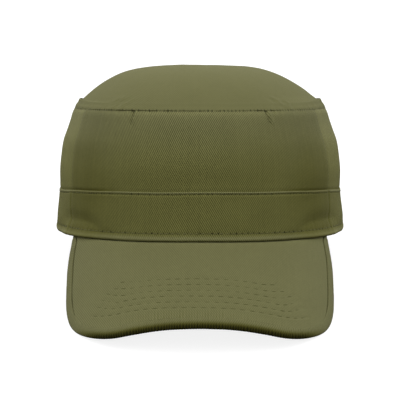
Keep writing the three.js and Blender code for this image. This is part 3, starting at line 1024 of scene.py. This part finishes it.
def binding_piece(material):
    """The strip round the peak's edge, gathered into fine ribs along the front."""
    arc = OUTLINE_LENGTH * clustered(BINDING_COLUMNS, -0.55)
    width = binding_width(arc)
    section = np.concatenate((BINDING_SECTION, BINDING_SECTION[-2::-1] * (1, -1) + (0, 1)))
    ribs = gathers(arc)
    rim, down = section[:, :1], section[:, 1:]
    strength = mix(PEAK_RIB / BINDING_RIB, 1, ramp(down * (1 - down), 0.0, 0.06))
    # Painted shade on the underside of the gathered front edge, and between its ribs
    under = np.where(down > 0.5, 1.0, 1 - ramp(rim, 0.08, 0.72))
    shade = FRONT_SHADE * at_front(arc) * under - RIB_SHADE * ribs * (under + 0.2)
    join = JOIN_DIP * bell(OUTLINE_LENGTH - arc - BINDING_JOIN, JOIN_HALF_WIDTH)
    lift = BINDING_RIB * ribs * strength + ripple("binding", arc) - join

    def face(cloth, raised):
        inset = mix(cloth, width, rim)
        across, along = edge_place(np.broadcast_to(arc, inset.shape), inset)
        top = cloth - binding_proud(arc)
        bottom = PEAK_THICKNESS + binding_hang(arc) - cloth
        depth = mix(top, bottom, down)
        upward = np.cos(math.pi * np.clip(down, 0, 1))
        return peak_point(across, along, depth - raised * upward)

    outer = face(0.0, lift)
    inner = face(float(BINDING_CLOTH), 0 * lift)
    # The binding takes the peak's whiter painted sheen
    looks = {
        "cloth": grid_pair(arc, path_length(outer)),
        "fade": 1.0,
        "shade": np.clip(shade, 0, DARKEST),
    }
    cloth_piece("peak_binding", material, inner, outer, looks)


def stitches(name, paths, pitch, material):
    """Short threads laid end to end along paths.

    A path holds distances, points and outward directions. A needle hole lies at each whole
    number of pitches, between two stitches.
    """
    tau = np.linspace(0, 1, THREAD_RINGS)
    swell = np.sqrt(np.clip(1 - np.abs(2 * tau - 1) ** 5, 0.02, 1))
    lift = STITCH_ARCH * (1 - np.abs(2 * tau - 1) ** 2.4) - STITCH_SINK
    circle = np.linspace(0, 2 * math.pi, THREAD_SIDES, endpoint=False)
    tubes = []
    for arc, points, outward in paths:
        first, last = math.ceil(arc[0] / pitch), math.floor(arc[-1] / pitch)
        middles = (np.arange(first, last) + 0.5) * pitch
        at = middles[:, None] + (tau - 0.5) * STITCH_SHARE * pitch

        def along(values):
            return np.stack([np.interp(at, arc, values[:, axis]) for axis in range(3)], -1)

        centre, normal = along(points), unit(along(outward))
        forward = unit(np.gradient(centre, axis=1))
        beside = unit(np.cross(forward, normal))
        centre = centre + normal * lift[None, :, None]
        ring = beside[:, :, None] * np.cos(circle)[:, None]
        ring = ring + normal[:, :, None] * np.sin(circle)[:, None]
        tubes.append(centre[:, :, None] + ring * (THREAD_RADIUS * swell)[None, :, None, None])
    tubes = np.concatenate(tubes)
    number = np.arange(tubes[..., 0].size).reshape(tubes.shape[:3])
    turned = np.roll(number, -1, 2)
    walls = np.stack((number[:, :-1], number[:, 1:], turned[:, 1:], turned[:, :-1]), -1)
    faces = walls.reshape(-1, 4).tolist()
    faces += number[:, 0].tolist() + number[:, -1, ::-1].tolist()
    mesh = bpy.data.meshes.new(name)
    mesh.from_pydata(at_rest(tubes.reshape(-1, 3)), [], faces)
    finished_piece(mesh, name, material)


def wall_path(start, end, height, depth):
    """A stitch row round the head, at a height that may follow the angle."""
    arc = np.arange(head_arc(start) + 1.5, head_arc(end) - 1.5, 0.6)
    turn = head_turn(arc)
    z = height(turn)
    return arc, wall_point(turn, z, depth(turn, z)), wall_normal(turn, z)


def band_stitches(material, pale_material):
    def top_row(turn):
        return band_top(turn) - BAND_TOP_STITCH

    def low_row(turn):
        return lower_edge(turn) + BAND_LOW_STITCH

    lengths = [PANELS[side][:2] for side in ("left", "front", "right")]
    top_paths = [wall_path(start, end, top_row, band_relief) for start, end in lengths]
    low_paths = [wall_path(start, end, low_row, band_relief) for start, end in lengths]
    stitches("band_top_stitches", top_paths, TOP_PITCH, material)
    stitches("band_low_stitches", low_paths, LOW_PITCH, pale_material)


def rim_stitches(material):
    def depth(turn, z):
        return np.full(np.shape(turn), RIM_THREAD_DEPTH)

    path = wall_path(-180, 180, rim_top, depth)
    stitches("rim_stitches", [path], RIM_PITCH, material)


def peak_stitches(material):
    paths = []
    for row, (reach, _) in enumerate(PEAK_ROWS):
        across = np.linspace(-reach, reach, 1000)
        along = peak_row_along(across, row)
        normal = peak_normal(across)
        relief = peak_relief(across, along)
        points = peak_point(across, along, relief)
        arc = path_length(points)
        paths.append((arc, points, normal))
        under = peak_point(across, along, PEAK_THICKNESS - UNDER_RELIEF * relief)
        paths.append((arc, under, -normal))
    stitches("peak_stitches", paths, PEAK_PITCH, material)


class Nodes:
    """Shorthand for building one material's nodes."""

    def __init__(self, name):
        self.material = bpy.data.materials.new(name)
        self.material.use_nodes = True
        self.tree = self.material.node_tree
        self.shader = self.tree.nodes["Principled BSDF"]

    def add(self, kind, **settings):
        node = self.tree.nodes.new(kind)
        for key, value in settings.items():
            setattr(node, key, value)
        return node

    def join(self, source, target):
        if isinstance(source, (int, float, tuple)):
            target.default_value = source
        else:
            self.tree.links.new(source, target)

    def math(self, operation, a, b=0.0, c=0.0):
        node = self.add("ShaderNodeMath", operation=operation)
        for value, socket in zip((a, b, c), node.inputs):
            self.join(value, socket)
        return node.outputs[0]

    def times(self, a, b, more=0.0):
        return self.math("MULTIPLY_ADD", a, b, more)

    def blend(self, share, a, b):
        node = self.add("ShaderNodeMix", data_type="RGBA")
        self.join(share, node.inputs["Factor"])
        self.join(a, node.inputs["A"])
        self.join(b, node.inputs["B"])
        return node.outputs["Result"]

    def attribute(self, name):
        return self.add("ShaderNodeAttribute", attribute_name=name).outputs["Fac"]

    def place(self, layer):
        """A UV layer and its two parts."""
        whole = self.add("ShaderNodeUVMap", uv_map=layer).outputs["UV"]
        split = self.add("ShaderNodeSeparateXYZ")
        self.join(whole, split.inputs[0])
        return whole, split.outputs[0], split.outputs[1]

    def spread(self, value, amount):
        """A value from 0 to 1, made to vary by an amount and evenly round 0."""
        return self.times(value, amount, -amount / 2)

    def noise(self, place, scale, detail):
        node = self.add("ShaderNodeTexNoise")
        self.join(place, node.inputs["Vector"])
        node.inputs["Scale"].default_value = scale
        node.inputs["Detail"].default_value = detail
        return node.outputs["Fac"]


def twill_material(name, contrast):
    """Cotton twill: warp threads float over three wefts and dive under one, a step on each."""
    make = Nodes(name)
    cloth, across, up = make.place("cloth")
    warp = make.math("DIVIDE", across, WARP_PITCH)
    column = make.math("FLOOR", warp)
    in_warp = make.math("FRACT", warp)
    lifted = make.times(column, WEFT_PITCH, up)
    in_float = make.math("FRACT", make.math("DIVIDE", lifted, WEFT_PITCH * TWILL_REPEAT))
    float_share = (TWILL_REPEAT - 1) / TWILL_REPEAT
    over = make.math("LESS_THAN", in_float, float_share)
    roundness = make.math("SINE", make.times(in_warp, math.pi))
    roundness = make.times(roundness, 0.5, 0.5)
    hump = make.math("SINE", make.times(in_float, math.pi / float_share))
    hump = make.math("POWER", make.math("MAXIMUM", hump, 0.0), 0.45)
    warp_height = make.times(make.times(roundness, hump), over)
    height = make.times(warp_height, 1 - WEFT_HEIGHT, WEFT_HEIGHT)
    tone = make.add("ShaderNodeTexWhiteNoise", noise_dimensions="1D")
    make.join(column, tone.inputs["W"])
    # The weave's relief is painted into the colour as shade, lighter on the floats, darker between
    relief = make.times(make.math("SUBTRACT", height, TWILL_MEAN), contrast)
    light = make.times(relief, make.attribute("weave"), 1.0)
    light = make.math("ADD", light, make.spread(tone.outputs["Value"], THREAD_TONE * contrast))
    uneven = mix(EVEN_SHARE, 1, min(contrast, 1))
    mottle = make.noise(cloth, MOTTLE_SCALE, 3.0)
    patch = make.noise(cloth, PATCH_SCALE, 2.0)
    light = make.math("ADD", light, make.spread(mottle, MOTTLE_TONE * uneven))
    light = make.math("ADD", light, make.spread(patch, PATCH_TONE * uneven))
    # Worn edges, lightened further by painted highlight
    light = make.times(make.attribute("wear"), WEAR_AND_HIGHLIGHT_TONE, light)
    # Painted shade in the needle holes
    hole = needle_holes(make)
    light = make.times(light, make.times(hole, -HOLE_SHADE, 1.0))
    # Painted shade darkens the colour, and paints light where the shade attribute is below 0
    painted_light_and_shade = make.attribute("shade")
    light = make.times(light, make.math("SUBTRACT", 1.0, painted_light_and_shade))
    # Painted sheen: the fade attribute gives a whiter colour where light falls from above
    colour = make.blend(make.attribute("fade"), DEEP_COLOUR + (1,), PAINTED_SHEEN_COLOUR + (1,))
    # Painted shade also tints the colour towards olive
    colour = make.blend(painted_light_and_shade, colour, PAINTED_SHADE_COLOUR + (1,))
    shade = make.add("ShaderNodeVectorMath", operation="SCALE")
    make.join(colour, shade.inputs[0])
    make.join(light, shade.inputs["Scale"])
    make.join(shade.outputs[0], make.shader.inputs["Base Color"])
    rough = make.times(height, -RAISED_GLOSS, ROUGHNESS)
    make.join(rough, make.shader.inputs["Roughness"])
    make.shader.inputs["Specular IOR Level"].default_value = SPECULAR
    make.shader.inputs["Sheen Weight"].default_value = SHEEN
    make.shader.inputs["Sheen Roughness"].default_value = 0.5
    make.shader.inputs["Sheen Tint"].default_value = SHEEN_TINT + (1,)
    bump = make.add("ShaderNodeBump")
    bump.inputs["Strength"].default_value = 0.6
    bump.inputs["Distance"].default_value = WEAVE_DEPTH * MM
    make.join(make.times(hole, -HOLE_DEPTH, height), bump.inputs["Height"])
    make.join(bump.outputs[0], make.shader.inputs["Normal"])
    return make.material


def needle_holes(make):
    """Small pits where the thread dives into the cloth, 0 to 1, uneven from one to the next."""
    _, count, beside = make.place("sewing")
    shifted = make.math("ADD", count, 0.5)
    draw = make.add("ShaderNodeTexWhiteNoise", noise_dimensions="1D")
    make.join(make.math("FLOOR", shifted), draw.inputs["W"])
    from_hole = make.math("SUBTRACT", make.math("FRACT", shifted), 0.5)
    ahead = make.math("POWER", make.math("DIVIDE", from_hole, HOLE_SHARE), 2.0)
    aside = make.math("POWER", make.math("DIVIDE", beside, HOLE_HALF_WIDTH), 2.0)
    depth = make.math("SUBTRACT", 1.3, make.math("ADD", ahead, aside))
    depth = make.math("MINIMUM", make.math("MAXIMUM", depth, 0.0), 1.0)
    strength = make.times(draw.outputs["Value"], 0.85, 0.15)
    return make.times(depth, strength)


def thread_material(name, colour):
    """Twisted sewing thread, darker than the cloth as painted shade along its stitch rows."""
    make = Nodes(name)
    place = make.add("ShaderNodeTexCoord").outputs["Object"]
    twist = make.add("ShaderNodeTexWave", wave_type="BANDS", bands_direction="DIAGONAL")
    make.join(place, twist.inputs["Vector"])
    twist.inputs["Scale"].default_value = 900.0
    fade = make.blend(twist.outputs["Fac"], tuple(c * 0.75 for c in colour) + (1,), colour + (1,))
    make.join(fade, make.shader.inputs["Base Color"])
    make.shader.inputs["Roughness"].default_value = 0.7
    make.shader.inputs["Specular IOR Level"].default_value = SPECULAR
    return make.material


def build_cap():
    crown = twill_material("crown_twill", CROWN_CONTRAST)
    top = twill_material("top_twill", TOP_CONTRAST)
    band = twill_material("band_twill", BAND_CONTRAST)
    peak = twill_material("peak_twill", PEAK_CONTRAST)
    thread = thread_material("thread", SHADED_THREAD_COLOUR)
    pale_thread = thread_material("pale_thread", SHADED_PALE_THREAD_COLOUR)
    top_panel(top)
    for side, (start, end, columns) in PANELS.items():
        crown_panel("crown_" + side, start, end, columns, crown)
    for side, (start, end, columns) in PANELS.items():
        band_panel("band_" + side, start, end, columns, band)
    peak_piece(peak)
    binding_piece(peak)
    band_stitches(thread, pale_thread)
    rim_stitches(pale_thread)
    peak_stitches(pale_thread)


def set_camera():
    target = (pitched(np.array((0, 0, TARGET_HEIGHT))) + REST_SHIFT) * MM
    tilt = math.radians(CAMERA_ELEVATION)
    back = Vector((0, -math.cos(tilt), math.sin(tilt)))
    data = bpy.data.cameras.new("camera")
    data.lens = CAMERA_LENS
    camera = add_object("camera", data)
    camera.location = Vector(target) + back * CAMERA_DISTANCE * MM
    camera.rotation_euler = (math.pi / 2 - tilt, 0, 0)
    bpy.context.scene.camera = camera


def area_light(name, place, aim, size, power):
    data = bpy.data.lights.new(name, "AREA")
    data.shape = "RECTANGLE"
    data.size, data.size_y = size
    data.energy = power
    light = add_object(name, data)
    light.location = place
    light.rotation_euler = (Vector(aim) - Vector(place)).to_track_quat("-Z", "Y").to_euler()


def set_studio():
    """A sky that fades towards the horizon, one weak light above and two behind, at the sides."""
    area_light("top_light", (0, -0.3, 1.6), (0, 0, 0.05), (1.6, 1.6), TOP_POWER)
    for name, across in (("left_light", -1.1), ("right_light", 1.1)):
        area_light(name, (across, 1.2, 0.4), (0, 0, 0.06), (0.8, 0.8), SIDE_POWER)
    world = bpy.data.worlds.new("studio")
    world.use_nodes = True
    nodes, links = world.node_tree.nodes, world.node_tree.links
    place = nodes.new("ShaderNodeTexCoord")
    split = nodes.new("ShaderNodeSeparateXYZ")
    fade = nodes.new("ShaderNodeMapRange")
    fade.interpolation_type = "SMOOTHSTEP"
    fade.inputs["From Min"].default_value = SKY_LOW
    fade.inputs["From Max"].default_value = SKY_HIGH
    fade.inputs["To Min"].default_value = HORIZON_STRENGTH
    fade.inputs["To Max"].default_value = SKY_STRENGTH
    links.new(place.outputs["Generated"], split.inputs[0])
    links.new(split.outputs[2], fade.inputs["Value"])
    links.new(fade.outputs[0], nodes["Background"].inputs["Strength"])
    nodes["Background"].inputs["Color"].default_value = (1, 1, 1, 1)
    bpy.context.scene.world = world


def stage_piece(name, corners, faces, material):
    mesh = bpy.data.meshes.new(name)
    mesh.from_pydata(corners, [], faces)
    mesh.materials.append(material)
    piece = add_object(name, mesh)
    piece.visible_diffuse = False
    piece.visible_glossy = False
    piece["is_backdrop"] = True
    return piece


def set_floor():
    """A pale floor and a white wall far behind it, which throw no light back on the cap."""
    make = Nodes("pale_floor")
    make.shader.inputs["Base Color"].default_value = (0.3, 0.3, 0.3, 1)
    make.shader.inputs["Roughness"].default_value = 0.9
    make.shader.inputs["Specular IOR Level"].default_value = 0.0
    make.shader.inputs["Emission Color"].default_value = (1, 1, 1, 1)
    make.shader.inputs["Emission Strength"].default_value = FLOOR_GLOW
    half = STAGE_HALF_WIDTH
    square = [(-half, -half), (half, -half), (half, half), (-half, half)]
    low = [(x, y, 0) for x, y in square]
    high = [(x, y, WALL_HEIGHT) for x, y in square]
    stage_piece("floor", low, [(0, 1, 2, 3)], make.material)
    glow = Nodes("white_wall")
    glow.shader.inputs["Base Color"].default_value = (0, 0, 0, 1)
    glow.shader.inputs["Emission Color"].default_value = (1, 1, 1, 1)
    glow.shader.inputs["Emission Strength"].default_value = 1.0
    sides = [(i, (i + 1) % 4, (i + 1) % 4 + 4, i + 4) for i in range(4)]
    walls = stage_piece("backdrop", low + high, sides, glow.material)
    walls.visible_shadow = False


set_camera()
set_studio()
set_floor()
build_cap()
scene = bpy.context.scene
scene.view_settings.view_transform = "Standard"
scene.view_settings.look = "None"


def corners(box):
    return [[float(value) for value in corner] for corner in box]


{"cad": corners(cad_box), "visual": corners(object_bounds())}
